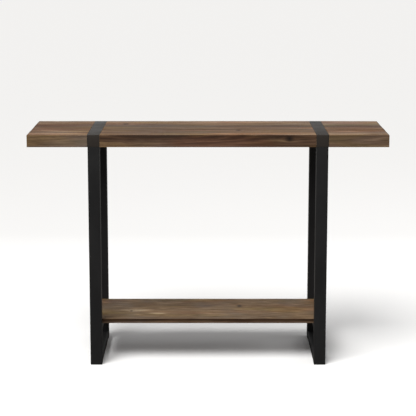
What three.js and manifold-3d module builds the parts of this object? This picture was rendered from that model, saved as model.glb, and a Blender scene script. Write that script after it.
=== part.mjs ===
// A console table: a thick hollow-core top carried by two welded steel frames, with a thin shelf low down.
// A folded steel strap wraps the top above each frame, let in flush with the wood.
// Millimetres, +Z up. The origin is on the floor under the middle of the table, +X runs along its length
// and the front faces -Y.
import * as THREE from "three";
import { mergeVertices } from "three/addons/utils/BufferGeometryUtils.js";
import Module from "manifold-3d";

// ---------------------------------------------------------------- driving dimensions
const TOP_LENGTH = 1170;
const TOP_DEPTH = 330;
const TABLE_HEIGHT = 770;
const TOP_THICKNESS = 40;

const FRAME_SPACING = 740; // between the middles of the two steel frames
const TUBE = 38; // side of the square upright tube, and width of the bars between uprights
const TUBE_WALL = 1.5;
const TUBE_CORNER = 2.5; // outer corner radius
const FLOOR_BAR_HEIGHT = 25;
const TOP_BAR_THICKNESS = 8; // flat bar, as wide as the tube, that the top is bolted to
const SHELF_BAR_HEIGHT = 20;

const STRAP_WIDTH = 40;
const STRAP_THICKNESS = 1.5; // also the thickness of the edging beside it
const STRAP_BEND = 1.5; // outer radius of its folds
const STRAP_LIP = 36; // how far it returns under the top
const STRAP_GAP = 0.5; // between the strap and the wood on each side of it

const SHELF_TOP = 146; // height of the shelf's upper face
const SHELF_THICKNESS = 15;
const SHELF_EDGING = 1;
const SHELF_GAP = 2; // between the shelf and the uprights in front of and behind it

const TOP_BOARD = 6;
const BOTTOM_BOARD = 4;
const RAIL_WIDTH = 36; // long rails inside the top
const END_RAIL_WIDTH = 30;
const MOUNT_BLOCK_WIDTH = 90;
const RIB_WIDTH = 18;
const RIB_COUNT = 3;

const FOOT_FLANGE = 2;
const FOOT_PLUG_DEPTH = 14;
const FOOT_PLUG_WALL = 2.5;

const BOLT_RADIUS = 3; // M6 frame bolts
const BOLT_HEAD_RADIUS = 6;
const BOLT_HEAD_HEIGHT = 3.5;
const BOLT_SPACING = 160;
const BOLT_KEY_RADIUS = 2.3; // corner radius of the hexagon socket
const BOLT_KEY_DEPTH = 2;
const INSERT_RADIUS = 4.7;
const INSERT_LENGTH = 13;
const INSERT_BELOW_END = 1.5; // the bolt stops this far short of the insert's far end

const SHELF_SCREW_RADIUS = 2.2;
const SHELF_SCREW_HEAD = 4.5;
const SHELF_SCREW_HEAD_HEIGHT = 2.5;
const SHELF_SCREW_BITE = 10; // into the shelf board
const SHELF_SCREW_SPACING = 180;

const STRAP_SCREW_RADIUS = 1.75;
const STRAP_SCREW_HEAD = 4;
const STRAP_SCREW_HEAD_HEIGHT = 1.8;
const STRAP_SCREW_LENGTH = 16;

const GLUE = 0.1; // glue line, weld root or seat between two pieces that touch
const HOLE_GAP = 0.3; // round a screw, bolt, insert or plug in its hole
const PILOT_END = 1; // how much deeper a blind hole is than what sits in it

// ---------------------------------------------------------------- worked out from them
const halfLength = TOP_LENGTH / 2;
const halfDepth = TOP_DEPTH / 2;
const topUnderside = TABLE_HEIGHT - TOP_THICKNESS;
const frameX = FRAME_SPACING / 2;
const housingHalf = STRAP_WIDTH / 2 + STRAP_GAP;

const coreHalfLength = halfLength - STRAP_THICKNESS - GLUE;
const coreHalfDepth = halfDepth - STRAP_THICKNESS - GLUE;
const coreLow = topUnderside + BOTTOM_BOARD + GLUE;
const coreHigh = TABLE_HEIGHT - TOP_BOARD - GLUE;
const coreHeight = coreHigh - coreLow;
const bayHalfDepth = coreHalfDepth - RAIL_WIDTH - GLUE;

const uprightY = halfDepth - TUBE / 2;
const uprightLow = FOOT_FLANGE + GLUE;
const frameHigh = topUnderside - GLUE;
const barHalf = halfDepth - TUBE - GLUE;

const shelfHalfDepth = halfDepth - TUBE - SHELF_GAP;
const shelfHalfLength = frameX + TUBE / 2;
const shelfUnderside = SHELF_TOP - SHELF_THICKNESS;
const shelfBarHigh = shelfUnderside - GLUE;

const LEFT_RIGHT = [["left", -1], ["right", 1]];
const FRONT_BACK = [["front", -1], ["back", 1]];

// ---------------------------------------------------------------- materials
const finish = (color, roughness, metalness) => new THREE.MeshStandardMaterial({ color, roughness, metalness });
const WOOD = finish("#6e5d4c", 0.7, 0);
const CORE = finish("#a88d68", 0.9, 0);
const BLACK_STEEL = finish("#242424", 0.55, 0.6);
const BLACK_PLASTIC = finish("#151515", 0.6, 0);
const ZINC = finish("#8d9094", 0.35, 1);
const BRASS = finish("#b08d4a", 0.35, 1);

// ---------------------------------------------------------------- solids
const wasm = await Module();
wasm.setup();

// A closed three.js geometry as a manifold-3d solid: shared vertices merged on position alone.
function toSolid(geometry) {
  const bare = geometry.index ? geometry.toNonIndexed() : geometry.clone();
  bare.deleteAttribute("normal");
  bare.deleteAttribute("uv");
  const merged = mergeVertices(bare, 1e-4);
  return new wasm.Manifold(new wasm.Mesh({
    numProp: 3,
    vertProperties: merged.attributes.position.array,
    triVerts: new Uint32Array(merged.index.array),
  }));
}

function toGeometry(solid) {
  const mesh = solid.getMesh();
  const geometry = new THREE.BufferGeometry();
  geometry.setAttribute("position", new THREE.BufferAttribute(mesh.vertProperties, 3));
  geometry.setIndex(new THREE.BufferAttribute(mesh.triVerts, 1));
  const flat = geometry.toNonIndexed();
  flat.computeVertexNormals();
  return flat;
}

const cut = (geometry, ...tools) =>
  toGeometry(tools.reduce((solid, tool) => solid.subtract(toSolid(tool)), toSolid(geometry)));

// A box between two corners, given as [low, high] along each axis.
function box([x0, x1], [y0, y1], [z0, z1]) {
  const geometry = new THREE.BoxGeometry(x1 - x0, y1 - y0, z1 - z0);
  geometry.translate((x0 + x1) / 2, (y0 + y1) / 2, (z0 + z1) / 2);
  return geometry;
}

const about = (middle, half) => [middle - half, middle + half];

// An upright round bar, for drilling holes.
function drill(radius, x, y, [z0, z1]) {
  const geometry = new THREE.CylinderGeometry(radius, radius, z1 - z0, 24);
  geometry.rotateX(Math.PI / 2);
  geometry.translate(x, y, (z0 + z1) / 2);
  return geometry;
}

// A rectangle with round corners, centred on the origin, drawn anticlockwise.
function roundedRectangle(path, width, height, radius) {
  const x = width / 2 - radius;
  const y = height / 2 - radius;
  path.absarc(x, y, radius, 0, Math.PI / 2);
  path.absarc(-x, y, radius, Math.PI / 2, Math.PI);
  path.absarc(-x, -y, radius, Math.PI, 1.5 * Math.PI);
  path.absarc(x, -y, radius, 1.5 * Math.PI, 2 * Math.PI);
  path.closePath();
  return path;
}

// A hollow rectangular tube standing on z = 0.
function tube(width, height, length) {
  const section = roundedRectangle(new THREE.Shape(), width, height, TUBE_CORNER);
  const bore = [width - 2 * TUBE_WALL, height - 2 * TUBE_WALL];
  section.holes.push(roundedRectangle(new THREE.Path(), ...bore, TUBE_CORNER - TUBE_WALL));
  return new THREE.ExtrudeGeometry(section, { depth: length, bevelEnabled: false, curveSegments: 4 });
}

// A tube that lies front to back between the uprights of a frame, with its underside at z = low.
function crossBar(height, low) {
  const geometry = tube(TUBE, height, 2 * barHalf);
  geometry.rotateX(Math.PI / 2);
  geometry.translate(0, barHalf, low + height / 2);
  return geometry;
}

// A screw that points up: a flat underside of the head at the bottom, the head's upper face at z = 0.
function screw(shankRadius, length, headRadius, headHeight) {
  const crown = headRadius * 0.7;
  const tip = shankRadius * 0.6;
  const profile = [
    [0, -headHeight], [crown, -headHeight], [headRadius, -headHeight / 2], [headRadius, 0],
    [shankRadius, 0], [shankRadius, length - shankRadius], [tip, length], [0, length],
  ].map(([r, z]) => new THREE.Vector2(r, z));
  const geometry = new THREE.LatheGeometry(profile, 20);
  geometry.rotateX(Math.PI / 2);
  return geometry;
}

// ---------------------------------------------------------------- the table
const table = new THREE.Group();

function add(name, material, geometry, x = 0, y = 0, z = 0) {
  const mesh = new THREE.Mesh(geometry, material);
  mesh.name = name;
  mesh.position.set(x, y, z);
  table.add(mesh);
}

// The two skins of the hollow-core top. The upper one is housed for the straps, and the lower one is
// pocketed for their lips and drilled for the bolts and the strap screws.
function topBoards() {
  const housings = LEFT_RIGHT.map(([, side]) => box(
    about(side * frameX, housingHalf),
    about(0, halfDepth),
    [TABLE_HEIGHT - STRAP_THICKNESS - GLUE, TABLE_HEIGHT + GLUE],
  ));
  const topBoard = box(
    about(0, coreHalfLength), about(0, coreHalfDepth), [TABLE_HEIGHT - TOP_BOARD, TABLE_HEIGHT],
  );
  add("tabletop_top_board", WOOD, cut(topBoard, ...housings));

  const through = [topUnderside - GLUE, topUnderside + BOTTOM_BOARD + GLUE];
  const tools = [];
  for (const [, side] of LEFT_RIGHT) {
    for (const [, end] of FRONT_BACK) {
      const lipMiddle = halfDepth - (STRAP_LIP + STRAP_GAP) / 2;
      tools.push(
        box(
          about(side * frameX, housingHalf),
          about(end * lipMiddle, (STRAP_LIP + STRAP_GAP) / 2),
          [topUnderside - GLUE, topUnderside + STRAP_THICKNESS + GLUE],
        ),
        drill(BOLT_RADIUS + HOLE_GAP, side * frameX, end * BOLT_SPACING / 2, through),
        drill(STRAP_SCREW_RADIUS + HOLE_GAP, side * frameX, end * uprightY, through),
      );
    }
  }
  const bottomBoard = box(
    about(0, coreHalfLength), about(0, coreHalfDepth), [topUnderside, topUnderside + BOTTOM_BOARD],
  );
  add("tabletop_bottom_board", WOOD, cut(bottomBoard, ...tools));
}

// Long rails, end rails, blocks above the frames and cross ribs, between the two skins.
function topCore() {
  const height = [coreLow, coreHigh];
  for (const [name, end] of FRONT_BACK) {
    const across = about(end * (coreHalfDepth - RAIL_WIDTH / 2), RAIL_WIDTH / 2);
    const rail = box(about(0, coreHalfLength), across, height);
    const screwTop = topUnderside + STRAP_THICKNESS + STRAP_SCREW_LENGTH + PILOT_END;
    const pilots = LEFT_RIGHT.map(([, side]) =>
      drill(STRAP_SCREW_RADIUS + HOLE_GAP, side * frameX, end * uprightY, [coreLow - GLUE, screwTop]));
    add(`tabletop_${name}_rail`, CORE, cut(rail, ...pilots));
  }
  for (const [name, side] of LEFT_RIGHT) {
    const endRail = about(side * (coreHalfLength - END_RAIL_WIDTH / 2), END_RAIL_WIDTH / 2);
    add(`tabletop_${name}_end_rail`, CORE, box(endRail, about(0, bayHalfDepth), height));

    const block = box(about(side * frameX, MOUNT_BLOCK_WIDTH / 2), about(0, bayHalfDepth), height);
    const depth = [coreLow - GLUE, coreLow + INSERT_LENGTH + PILOT_END];
    const sockets = FRONT_BACK.map(([, end]) =>
      drill(INSERT_RADIUS + HOLE_GAP, side * frameX, end * BOLT_SPACING / 2, depth));
    add(`${name}_mount_block`, CORE, cut(block, ...sockets));
  }
  const bay = FRAME_SPACING - MOUNT_BLOCK_WIDTH;
  for (let i = 1; i <= RIB_COUNT; i++) {
    const x = -bay / 2 + (bay * i) / (RIB_COUNT + 1);
    add(`core_rib_${i}`, CORE, box(about(x, RIB_WIDTH / 2), about(0, bayHalfDepth), height));
  }
}

// Wood edging round the top. Along the front and back it stops either side of each strap.
function topEdging() {
  const height = [topUnderside, TABLE_HEIGHT];
  const inner = frameX - housingHalf;
  const outer = frameX + housingHalf;
  const runs = [["left", [-halfLength, -outer]], ["center", [-inner, inner]], ["right", [outer, halfLength]]];
  for (const [endName, end] of FRONT_BACK) {
    const across = about(end * (halfDepth - STRAP_THICKNESS / 2), STRAP_THICKNESS / 2);
    for (const [name, run] of runs) add(`${endName}_edging_${name}`, WOOD, box(run, across, height));
  }
  for (const [name, side] of LEFT_RIGHT) {
    const along = about(side * (halfLength - STRAP_THICKNESS / 2), STRAP_THICKNESS / 2);
    add(`${name}_end_edging`, WOOD, box(along, about(0, coreHalfDepth), height));
  }
}

// A strap of folded steel: front, over the top and down the back, with a lip under the top at each end.
function strapGeometry() {
  const [y, low, high] = [halfDepth, topUnderside, TABLE_HEIGHT];
  const [r, t] = [STRAP_BEND, STRAP_THICKNESS];
  const section = new THREE.Shape();
  section.moveTo(-y + STRAP_LIP, low + t);
  section.lineTo(-y + STRAP_LIP, low);
  section.absarc(-y + r, low + r, r, -Math.PI / 2, -Math.PI, true);
  section.absarc(-y + r, high - r, r, Math.PI, Math.PI / 2, true);
  section.absarc(y - r, high - r, r, Math.PI / 2, 0, true);
  section.absarc(y - r, low + r, r, 0, -Math.PI / 2, true);
  section.lineTo(y - STRAP_LIP, low);
  section.lineTo(y - STRAP_LIP, low + t);
  section.lineTo(y - t, low + t);
  section.lineTo(y - t, high - t);
  section.lineTo(-y + t, high - t);
  section.lineTo(-y + t, low + t);
  section.closePath();
  const geometry = new THREE.ExtrudeGeometry(section, {
    depth: STRAP_WIDTH, bevelEnabled: false, curveSegments: 4,
  });
  geometry.translate(0, 0, -STRAP_WIDTH / 2);
  geometry.applyMatrix4(new THREE.Matrix4().set(0, 0, 1, 0, 1, 0, 0, 0, 0, 1, 0, 0, 0, 0, 0, 1));
  const holes = FRONT_BACK.map(([, end]) =>
    drill(STRAP_SCREW_RADIUS + HOLE_GAP, 0, end * uprightY, [low - GLUE, low + t + GLUE]));
  return cut(geometry, ...holes);
}

function straps() {
  for (const [name, side] of LEFT_RIGHT) {
    add(`${name}_strap`, BLACK_STEEL, strapGeometry(), side * frameX);
    for (const [endName, end] of FRONT_BACK) {
      const wafer = screw(STRAP_SCREW_RADIUS, STRAP_SCREW_LENGTH, STRAP_SCREW_HEAD, STRAP_SCREW_HEAD_HEIGHT);
      add(`${name}_${endName}_strap_screw`, ZINC, wafer, side * frameX, end * uprightY, topUnderside - GLUE);
    }
  }
}

// A plug that closes the foot of an upright: a flange it stands on, and a hollow body inside the tube.
function footPlug() {
  const extruded = (size, radius, depth) => new THREE.ExtrudeGeometry(
    roundedRectangle(new THREE.Shape(), size, size, radius),
    { depth, bevelEnabled: false, curveSegments: 4 },
  );
  const bore = TUBE - 2 * TUBE_WALL - 2 * HOLE_GAP;
  const radius = TUBE_CORNER - TUBE_WALL;
  const flange = toSolid(extruded(TUBE, TUBE_CORNER, FOOT_FLANGE));
  const body = toSolid(extruded(bore, radius, FOOT_FLANGE + FOOT_PLUG_DEPTH));
  const hollow = extruded(bore - 2 * FOOT_PLUG_WALL, radius, FOOT_PLUG_DEPTH + GLUE);
  hollow.translate(0, 0, FOOT_FLANGE);
  return toGeometry(flange.add(body).subtract(toSolid(hollow)));
}

// One welded frame: two uprights to the floor, a tube between them at the floor and under the shelf, and a flat
// bar between them under the top.
function frame(name, side) {
  const x = side * frameX;
  for (const [endName, end] of FRONT_BACK) {
    const upright = tube(TUBE, TUBE, frameHigh - uprightLow);
    add(`${name}_${endName}_upright`, BLACK_STEEL, upright, x, end * uprightY, uprightLow);
    add(`${name}_${endName}_foot_plug`, BLACK_PLASTIC, footPlug(), x, end * uprightY);
  }
  add(`${name}_floor_bar`, BLACK_STEEL, crossBar(FLOOR_BAR_HEIGHT, uprightLow), x);

  const topBarLow = frameHigh - TOP_BAR_THICKNESS;
  const topBar = box(about(0, TUBE / 2), about(0, barHalf), [topBarLow, frameHigh]);
  const boltHoles = FRONT_BACK.map(([, end]) =>
    drill(BOLT_RADIUS + HOLE_GAP, 0, end * BOLT_SPACING / 2, [topBarLow - GLUE, frameHigh + GLUE]));
  add(`${name}_top_bar`, BLACK_STEEL, cut(topBar, ...boltHoles), x);

  const shelfBarLow = shelfBarHigh - SHELF_BAR_HEIGHT;
  const through = [shelfBarLow - GLUE, shelfBarHigh + GLUE];
  const screwHoles = FRONT_BACK.map(([, end]) =>
    drill(SHELF_SCREW_RADIUS + HOLE_GAP, 0, end * SHELF_SCREW_SPACING / 2, through));
  add(`${name}_shelf_bar`, BLACK_STEEL, cut(crossBar(SHELF_BAR_HEIGHT, shelfBarLow), ...screwHoles), x);
}

// Bolts up through each top bar into threaded inserts in the mount block above it.
function frameBolts(name, side) {
  const seat = frameHigh - TOP_BAR_THICKNESS - GLUE;
  const length = coreLow + INSERT_LENGTH - INSERT_BELOW_END - seat;
  for (const [endName, end] of FRONT_BACK) {
    const place = [side * frameX, end * BOLT_SPACING / 2];
    const key = new THREE.CylinderGeometry(BOLT_KEY_RADIUS, BOLT_KEY_RADIUS, 2 * BOLT_KEY_DEPTH, 6);
    key.rotateX(Math.PI / 2);
    key.translate(0, 0, -BOLT_HEAD_HEIGHT);
    const bolt = cut(screw(BOLT_RADIUS, length, BOLT_HEAD_RADIUS, BOLT_HEAD_HEIGHT), key);
    add(`${name}_${endName}_frame_bolt`, ZINC, bolt, ...place, seat);

    const ring = [
      [BOLT_RADIUS + HOLE_GAP, 0], [INSERT_RADIUS, 0], [INSERT_RADIUS, INSERT_LENGTH],
      [BOLT_RADIUS + HOLE_GAP, INSERT_LENGTH], [BOLT_RADIUS + HOLE_GAP, 0],
    ].map(([r, z]) => new THREE.Vector2(r, z));
    const insert = new THREE.LatheGeometry(ring, 20);
    insert.rotateX(Math.PI / 2);
    add(`${name}_${endName}_threaded_insert`, BRASS, insert, ...place, coreLow);
  }
}

// The shelf board, its edging, and the screws up through the shelf bars.
function shelf() {
  const coreLength = shelfHalfLength - SHELF_EDGING - GLUE;
  const coreDepth = shelfHalfDepth - SHELF_EDGING - GLUE;
  const height = [shelfUnderside, SHELF_TOP];
  const pilots = [];
  for (const [name, side] of LEFT_RIGHT) {
    for (const [endName, end] of FRONT_BACK) {
      const place = [side * frameX, end * SHELF_SCREW_SPACING / 2];
      const pilotTop = shelfUnderside + SHELF_SCREW_BITE + PILOT_END;
      pilots.push(drill(SHELF_SCREW_RADIUS + HOLE_GAP, ...place, [shelfUnderside - GLUE, pilotTop]));
      const seat = shelfBarHigh - SHELF_BAR_HEIGHT - GLUE;
      const length = shelfUnderside + SHELF_SCREW_BITE - seat;
      const panHead = screw(SHELF_SCREW_RADIUS, length, SHELF_SCREW_HEAD, SHELF_SCREW_HEAD_HEIGHT);
      add(`${name}_${endName}_shelf_screw`, ZINC, panHead, ...place, seat);
    }
    const along = about(side * (shelfHalfLength - SHELF_EDGING / 2), SHELF_EDGING / 2);
    add(`shelf_${name}_edging`, WOOD, box(along, about(0, coreDepth), height));
  }
  for (const [endName, end] of FRONT_BACK) {
    const across = about(end * (shelfHalfDepth - SHELF_EDGING / 2), SHELF_EDGING / 2);
    add(`shelf_${endName}_edging`, WOOD, box(about(0, shelfHalfLength), across, height));
  }
  add("shelf_board", WOOD, cut(box(about(0, coreLength), about(0, coreDepth), height), ...pilots));
}

topBoards();
topCore();
topEdging();
straps();
for (const [name, side] of LEFT_RIGHT) {
  frame(name, side);
  frameBolts(name, side);
}
shelf();

export default table;
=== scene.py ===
"""The looks of a console table: weathered wood boards, flush steel straps and welded tube frames.

Everything is in metres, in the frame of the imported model: +X along the table, the front faces -Y, +Z up.
"""
import math
from typing import NamedTuple

import bpy
import numpy as np
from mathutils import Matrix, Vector


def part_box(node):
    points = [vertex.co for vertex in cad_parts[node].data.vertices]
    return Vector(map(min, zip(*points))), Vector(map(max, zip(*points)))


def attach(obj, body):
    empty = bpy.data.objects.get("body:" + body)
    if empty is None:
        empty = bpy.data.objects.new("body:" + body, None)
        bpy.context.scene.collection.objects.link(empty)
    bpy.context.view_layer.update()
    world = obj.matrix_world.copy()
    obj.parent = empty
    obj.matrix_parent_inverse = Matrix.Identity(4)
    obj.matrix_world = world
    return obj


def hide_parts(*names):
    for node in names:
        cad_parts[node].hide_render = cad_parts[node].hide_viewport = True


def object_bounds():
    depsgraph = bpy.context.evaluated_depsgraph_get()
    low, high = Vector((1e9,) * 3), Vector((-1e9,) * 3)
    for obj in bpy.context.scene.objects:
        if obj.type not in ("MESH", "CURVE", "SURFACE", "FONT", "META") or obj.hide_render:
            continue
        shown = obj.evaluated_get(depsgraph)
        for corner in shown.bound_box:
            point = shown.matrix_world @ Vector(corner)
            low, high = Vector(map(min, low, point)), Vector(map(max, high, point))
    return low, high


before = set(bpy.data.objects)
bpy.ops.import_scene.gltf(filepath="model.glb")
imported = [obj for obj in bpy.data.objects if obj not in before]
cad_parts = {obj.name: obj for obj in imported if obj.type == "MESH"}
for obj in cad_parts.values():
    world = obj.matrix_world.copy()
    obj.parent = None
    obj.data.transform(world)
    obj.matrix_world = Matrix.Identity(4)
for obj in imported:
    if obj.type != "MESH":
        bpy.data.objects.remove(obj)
CAD_LOW, CAD_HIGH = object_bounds()

MM = 0.001
BODY = "root"
LEFT_RIGHT = ("left", "right")
FRONT_BACK = ("front", "back")
X, Y, Z = 0, 1, 2

# ------------------------------------------------------------ sizes
EDGING_LOW, EDGING_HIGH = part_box("front_edging_center")
TOP_LOW, TOP_HIGH = CAD_LOW.copy(), CAD_HIGH.copy()
TOP_LOW.z = EDGING_LOW.z
SHELF_LOW, SHELF_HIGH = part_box("shelf_front_edging")[0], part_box("shelf_back_edging")[1]
FRAME_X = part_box("right_floor_bar")[0].x / 2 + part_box("right_floor_bar")[1].x / 2
HOUSING_HALF = (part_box("front_edging_right")[0].x - EDGING_HIGH.x) / 2  # half the width of a strap's housing
HOUSING_GAP = 0.1 * MM  # between a strap and the wood under it
WALL_LEAN = 0.05 * MM  # how far the wall of a housing leans

STRAP_THICKNESS = EDGING_HIGH.y - EDGING_LOW.y  # the edging stops beside a strap, so both are as thick
STRAP_LIP = 36 * MM  # how far a strap reaches under the top at each end
STRAP_BEND = 0.85 * MM  # radius of its folds, at the middle of its thickness
STRAP_EDGE = 0.4 * MM  # radius of its long edges
TUBE_WALL = 1.5 * MM
TUBE_CORNER = 2.5 * MM
FLAT_BAR_CORNER = 1.2 * MM
SAWN_EDGE = 0.35 * MM  # the sawn ends of tubes and bars are eased by this
WELD_LEG = 2.6 * MM
WELD_RIPPLE = 1.5 * MM
FOOT_FLANGE = 2 * MM
FOOT_GAP = 1.8 * MM  # from the outside of the tube to the body of its foot plug
FOOT_WALL = 2.5 * MM

RELIEF = 0.22 * MM  # depth of the open grain
SKIN = 3 * MM  # how deep the wood is disturbed by it
FURROW_PITCH = 11 * MM
WORN_RADIUS = 2.4 * MM  # mean radius of the worn upper arrises of the top
SHELF_WORN_RADIUS = 1.6 * MM
EASED_RADIUS = 0.7 * MM  # lower arrises and corners
CUT_RADIUS = 0.25 * MM  # where a strip is cut off beside a strap
# where the mesh of a board is cut, measured in from each of its ends
END_CUTS = np.array([0, 0.1, 0.25, 0.45, 0.7, 1.0, 1.4, 1.9, 2.5, 3.2, 4.2, 5.5]) * MM
SAME_PLACE = 0.01 * MM  # points nearer to each other than this are one
TOP_SEED, SHELF_SEED = 21, 41  # of each board's open grain and worn arrises


# ------------------------------------------------------------ surfaces
def waver(t, wavelength, seed):
    """A wandering line between about -1 and 1: five sines, each 1.7 times as quick as the last and weaker."""
    rng = np.random.default_rng(seed)
    phases = rng.uniform(0, 2 * np.pi, 5)
    return sum(0.75**k * np.sin(2 * np.pi * 1.7**k * t / wavelength + phases[k]) for k in range(5)) / 2.6


def grid_faces(rows, columns, close_rows=False, close_columns=False):
    """Quads over a grid of points numbered row by row, wrapped round where a direction is closed."""
    r = np.arange(rows if close_rows else rows - 1)[:, None]
    c = np.arange(columns if close_columns else columns - 1)[None, :]
    r_next, c_next = (r + 1) % rows, (c + 1) % columns
    corners = (r * columns + c, r * columns + c_next, r_next * columns + c_next, r_next * columns + c)
    return np.stack([np.broadcast_to(k, (r.size, c.size)) for k in corners], axis=-1).reshape(-1, 4)


def signed_volume(points, quads):
    """Six times the volume inside, summed as tetrahedra from the origin: negative if the faces point in."""
    a, b, c, d = (points[quads[:, k]] for k in range(4))
    return np.sum(a * np.cross(b, c)) + np.sum(a * np.cross(c, d))


def loft(rings):
    """The points, quads and two end caps of a closed solid through a row of rings, each of as many points."""
    rows, columns = len(rings), len(rings[0])
    caps = [list(range(columns))[::-1], list(range((rows - 1) * columns, rows * columns))]
    return np.concatenate(rings), grid_faces(rows, columns, False, True), caps


def make_piece(name, points, quads, caps, material, slot, nodes, sharp=30):
    """One finished piece from its points, its quads and any end caps, standing for the named nodes. An edge
    stays crisp where it turns by more than sharp degrees."""
    mesh = bpy.data.meshes.new(name)
    flip = signed_volume(points, quads) < 0
    faces = (quads[:, ::-1] if flip else quads).tolist()
    faces += [list(reversed(cap)) if flip else list(cap) for cap in caps]
    mesh.from_pydata(points.tolist(), [], faces)
    mesh.polygons.foreach_set("use_smooth", [True] * len(mesh.polygons))
    mesh.set_sharp_from_angle(angle=math.radians(sharp))
    mesh.materials.append(material)
    mesh.update()
    piece = bpy.data.objects.new(name, mesh)
    bpy.context.scene.collection.objects.link(piece)
    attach(piece, BODY)
    if nodes:
        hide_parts(*nodes)
    return piece


def stations(low, high, step, marks=()):
    """Cuts from low to high: close together near both ends, a step apart between, and one at each mark."""
    near_end = END_CUTS[END_CUTS < (high - low) / 2]
    inner_low, inner_high = low + near_end[-1], high - near_end[-1]
    between = np.linspace(inner_low, inner_high, max(2, round((inner_high - inner_low) / step) + 1))
    for mark in marks:
        between = between[np.abs(between - mark) > 0.2 * step]
    values = np.concatenate([low + near_end, high - near_end, between, marks])
    return np.unique(np.round(values, 6))


def block(xs, ys, zs):
    """A closed box: on each of its six sides a grid over the stations of two axes, joined along the edges."""
    axes, points, quads, start = (xs, ys, zs), [], [], 0
    for across in range(3):
        a, b = (across + 1) % 3, (across + 2) % 3
        for end in (0, -1):
            u, v = np.meshgrid(axes[a], axes[b], indexing="ij")
            side = np.empty(u.shape + (3,))
            side[..., a], side[..., b], side[..., across] = u, v, axes[across][end]
            faces = grid_faces(*u.shape) + start
            quads.append(faces if end == 0 else faces[:, ::-1])
            points.append(side.reshape(-1, 3))
            start += u.size
    points, quads = np.concatenate(points), np.concatenate(quads)
    keys = np.round(points / SAME_PLACE).astype(np.int64)
    _, first, where = np.unique(keys, axis=0, return_index=True, return_inverse=True)
    return points[first], where.reshape(-1)[quads]


def ease(points, first, second, radius):
    """Rounds the arris between two sides, each given as (axis, place, outward sign). The square corner, one
    radius each way, is drawn in to a quarter disc: a point slides towards the middle of that disc until the
    concentric square it lies on has become a circle, by the share max(a, b) / hypot(a, b)."""
    (i, place_i, sign_i), (j, place_j, sign_j) = first, second
    a = radius - (place_i - points[:, i]) * sign_i
    b = radius - (place_j - points[:, j]) * sign_j
    inside = (a > 0) & (b > 0)
    share = np.where(inside, np.maximum(a, b) / np.maximum(np.hypot(a, b), 1e-12), 1)
    points[:, i] -= sign_i * np.where(inside, a * (1 - share), 0)
    points[:, j] -= sign_j * np.where(inside, b * (1 - share), 0)


def worn_radius(along, mean, seed):
    """The radius of a hand-worn arris: it wanders by a half either way, with a few deeper nicks."""
    nicks = np.clip(waver(along, 0.11, seed + 1) - 0.55, 0, 1) * 1.6
    return mean * (1 + 0.5 * waver(along, 0.35, seed) + nicks)


def open_grain(along, across, seed):
    """Depth of the grain from 0 to 1: furrows that run along the board, wander across it and come and go."""
    line = across / FURROW_PITCH + 1.4 * waver(along, 0.9, seed) + 2.2 * waver(across, 0.14, seed + 1)
    furrow = (0.5 + 0.5 * np.sin(2 * np.pi * line)) ** 3
    second = (0.5 + 0.5 * np.sin(2 * np.pi * (line * 1.9 + 0.7 * waver(along, 0.31, seed + 2)))) ** 4
    return np.clip(0.6 * furrow + 0.4 * second * (0.5 + 0.5 * waver(along + 3 * across, 0.5, seed + 3)), 0, 1)


def own_sides(low, high):
    """The six sides of a box, as ease() takes them, keyed by axis and sign."""
    ends = (low, -1), (high, 1)
    return {(axis, sign): (axis, corner[axis], sign) for axis in range(3) for corner, sign in ends}


def ease_board(points, low, high, worn, seed):
    """Rounds the arrises of a whole board between two corners: worn above, eased below and up the corners."""
    sides = own_sides(low, high)
    for axis in (X, Y):
        for sign in (-1, 1):
            along = points[:, 1 - axis] + 2 * axis + 5 * sign
            ease(points, sides[axis, sign], sides[Z, 1], worn_radius(along, worn, seed))
            ease(points, sides[axis, sign], sides[Z, -1], EASED_RADIUS)
    for x_sign in (-1, 1):
        for y_sign in (-1, 1):
            ease(points, sides[X, x_sign], sides[Y, y_sign], EASED_RADIUS)


def sink_grain(points, low, high, seed):
    """Sinks the upper side and the four edges of a whole board by its open grain, by less and less down to a
    skin's depth below them."""
    near = np.clip(1 - (high.z - points[:, Z]) / SKIN, 0, 1)
    points[:, Z] -= near * RELIEF * open_grain(points[:, X], points[:, Y], seed)
    for axis in (X, Y):
        for edge, sign in ((low[axis], -1), (high[axis], 1)):
            near = np.clip(1 - (edge - points[:, axis]) * sign / SKIN, 0, 1)
            grain = open_grain(points[:, 1 - axis], points[:, Z] + 0.3 * sign, seed + 7)
            points[:, axis] -= sign * near * RELIEF * grain


# ------------------------------------------------------------ wood pieces
def housing_walls():
    """Where the walls of both housings stand along the table, foot and lip of each."""
    inner, outer = FRAME_X - HOUSING_HALF, FRAME_X + HOUSING_HALF
    walls = [inner - WALL_LEAN, inner, outer, outer + WALL_LEAN]
    return [side * wall for side in (-1, 1) for wall in walls]


def make_top_board(material):
    """The upper board: open grain, worn arrises, and under each strap a housing, where it is thinner."""
    low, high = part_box("tabletop_top_board")
    xs = stations(low.x, high.x, 5.5 * MM, housing_walls())
    ys = stations(low.y, high.y, 3 * MM)
    points, quads = block(xs, ys, stations(low.z, high.z, 2 * MM))
    sink_grain(points, TOP_LOW, TOP_HIGH, TOP_SEED - 10)
    ease_board(points, TOP_LOW, TOP_HIGH, WORN_RADIUS, TOP_SEED)
    in_housing = np.abs(np.abs(points[:, X]) - FRAME_X) < HOUSING_HALF + SAME_PLACE
    pressed = (high.z - low.z - STRAP_THICKNESS - HOUSING_GAP) / (high.z - low.z)
    points[:, Z] = np.where(in_housing, low.z + (points[:, Z] - low.z) * pressed, points[:, Z])
    make_piece("upper_board", points, quads, [], material, "wood", ["tabletop_top_board"])


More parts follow.
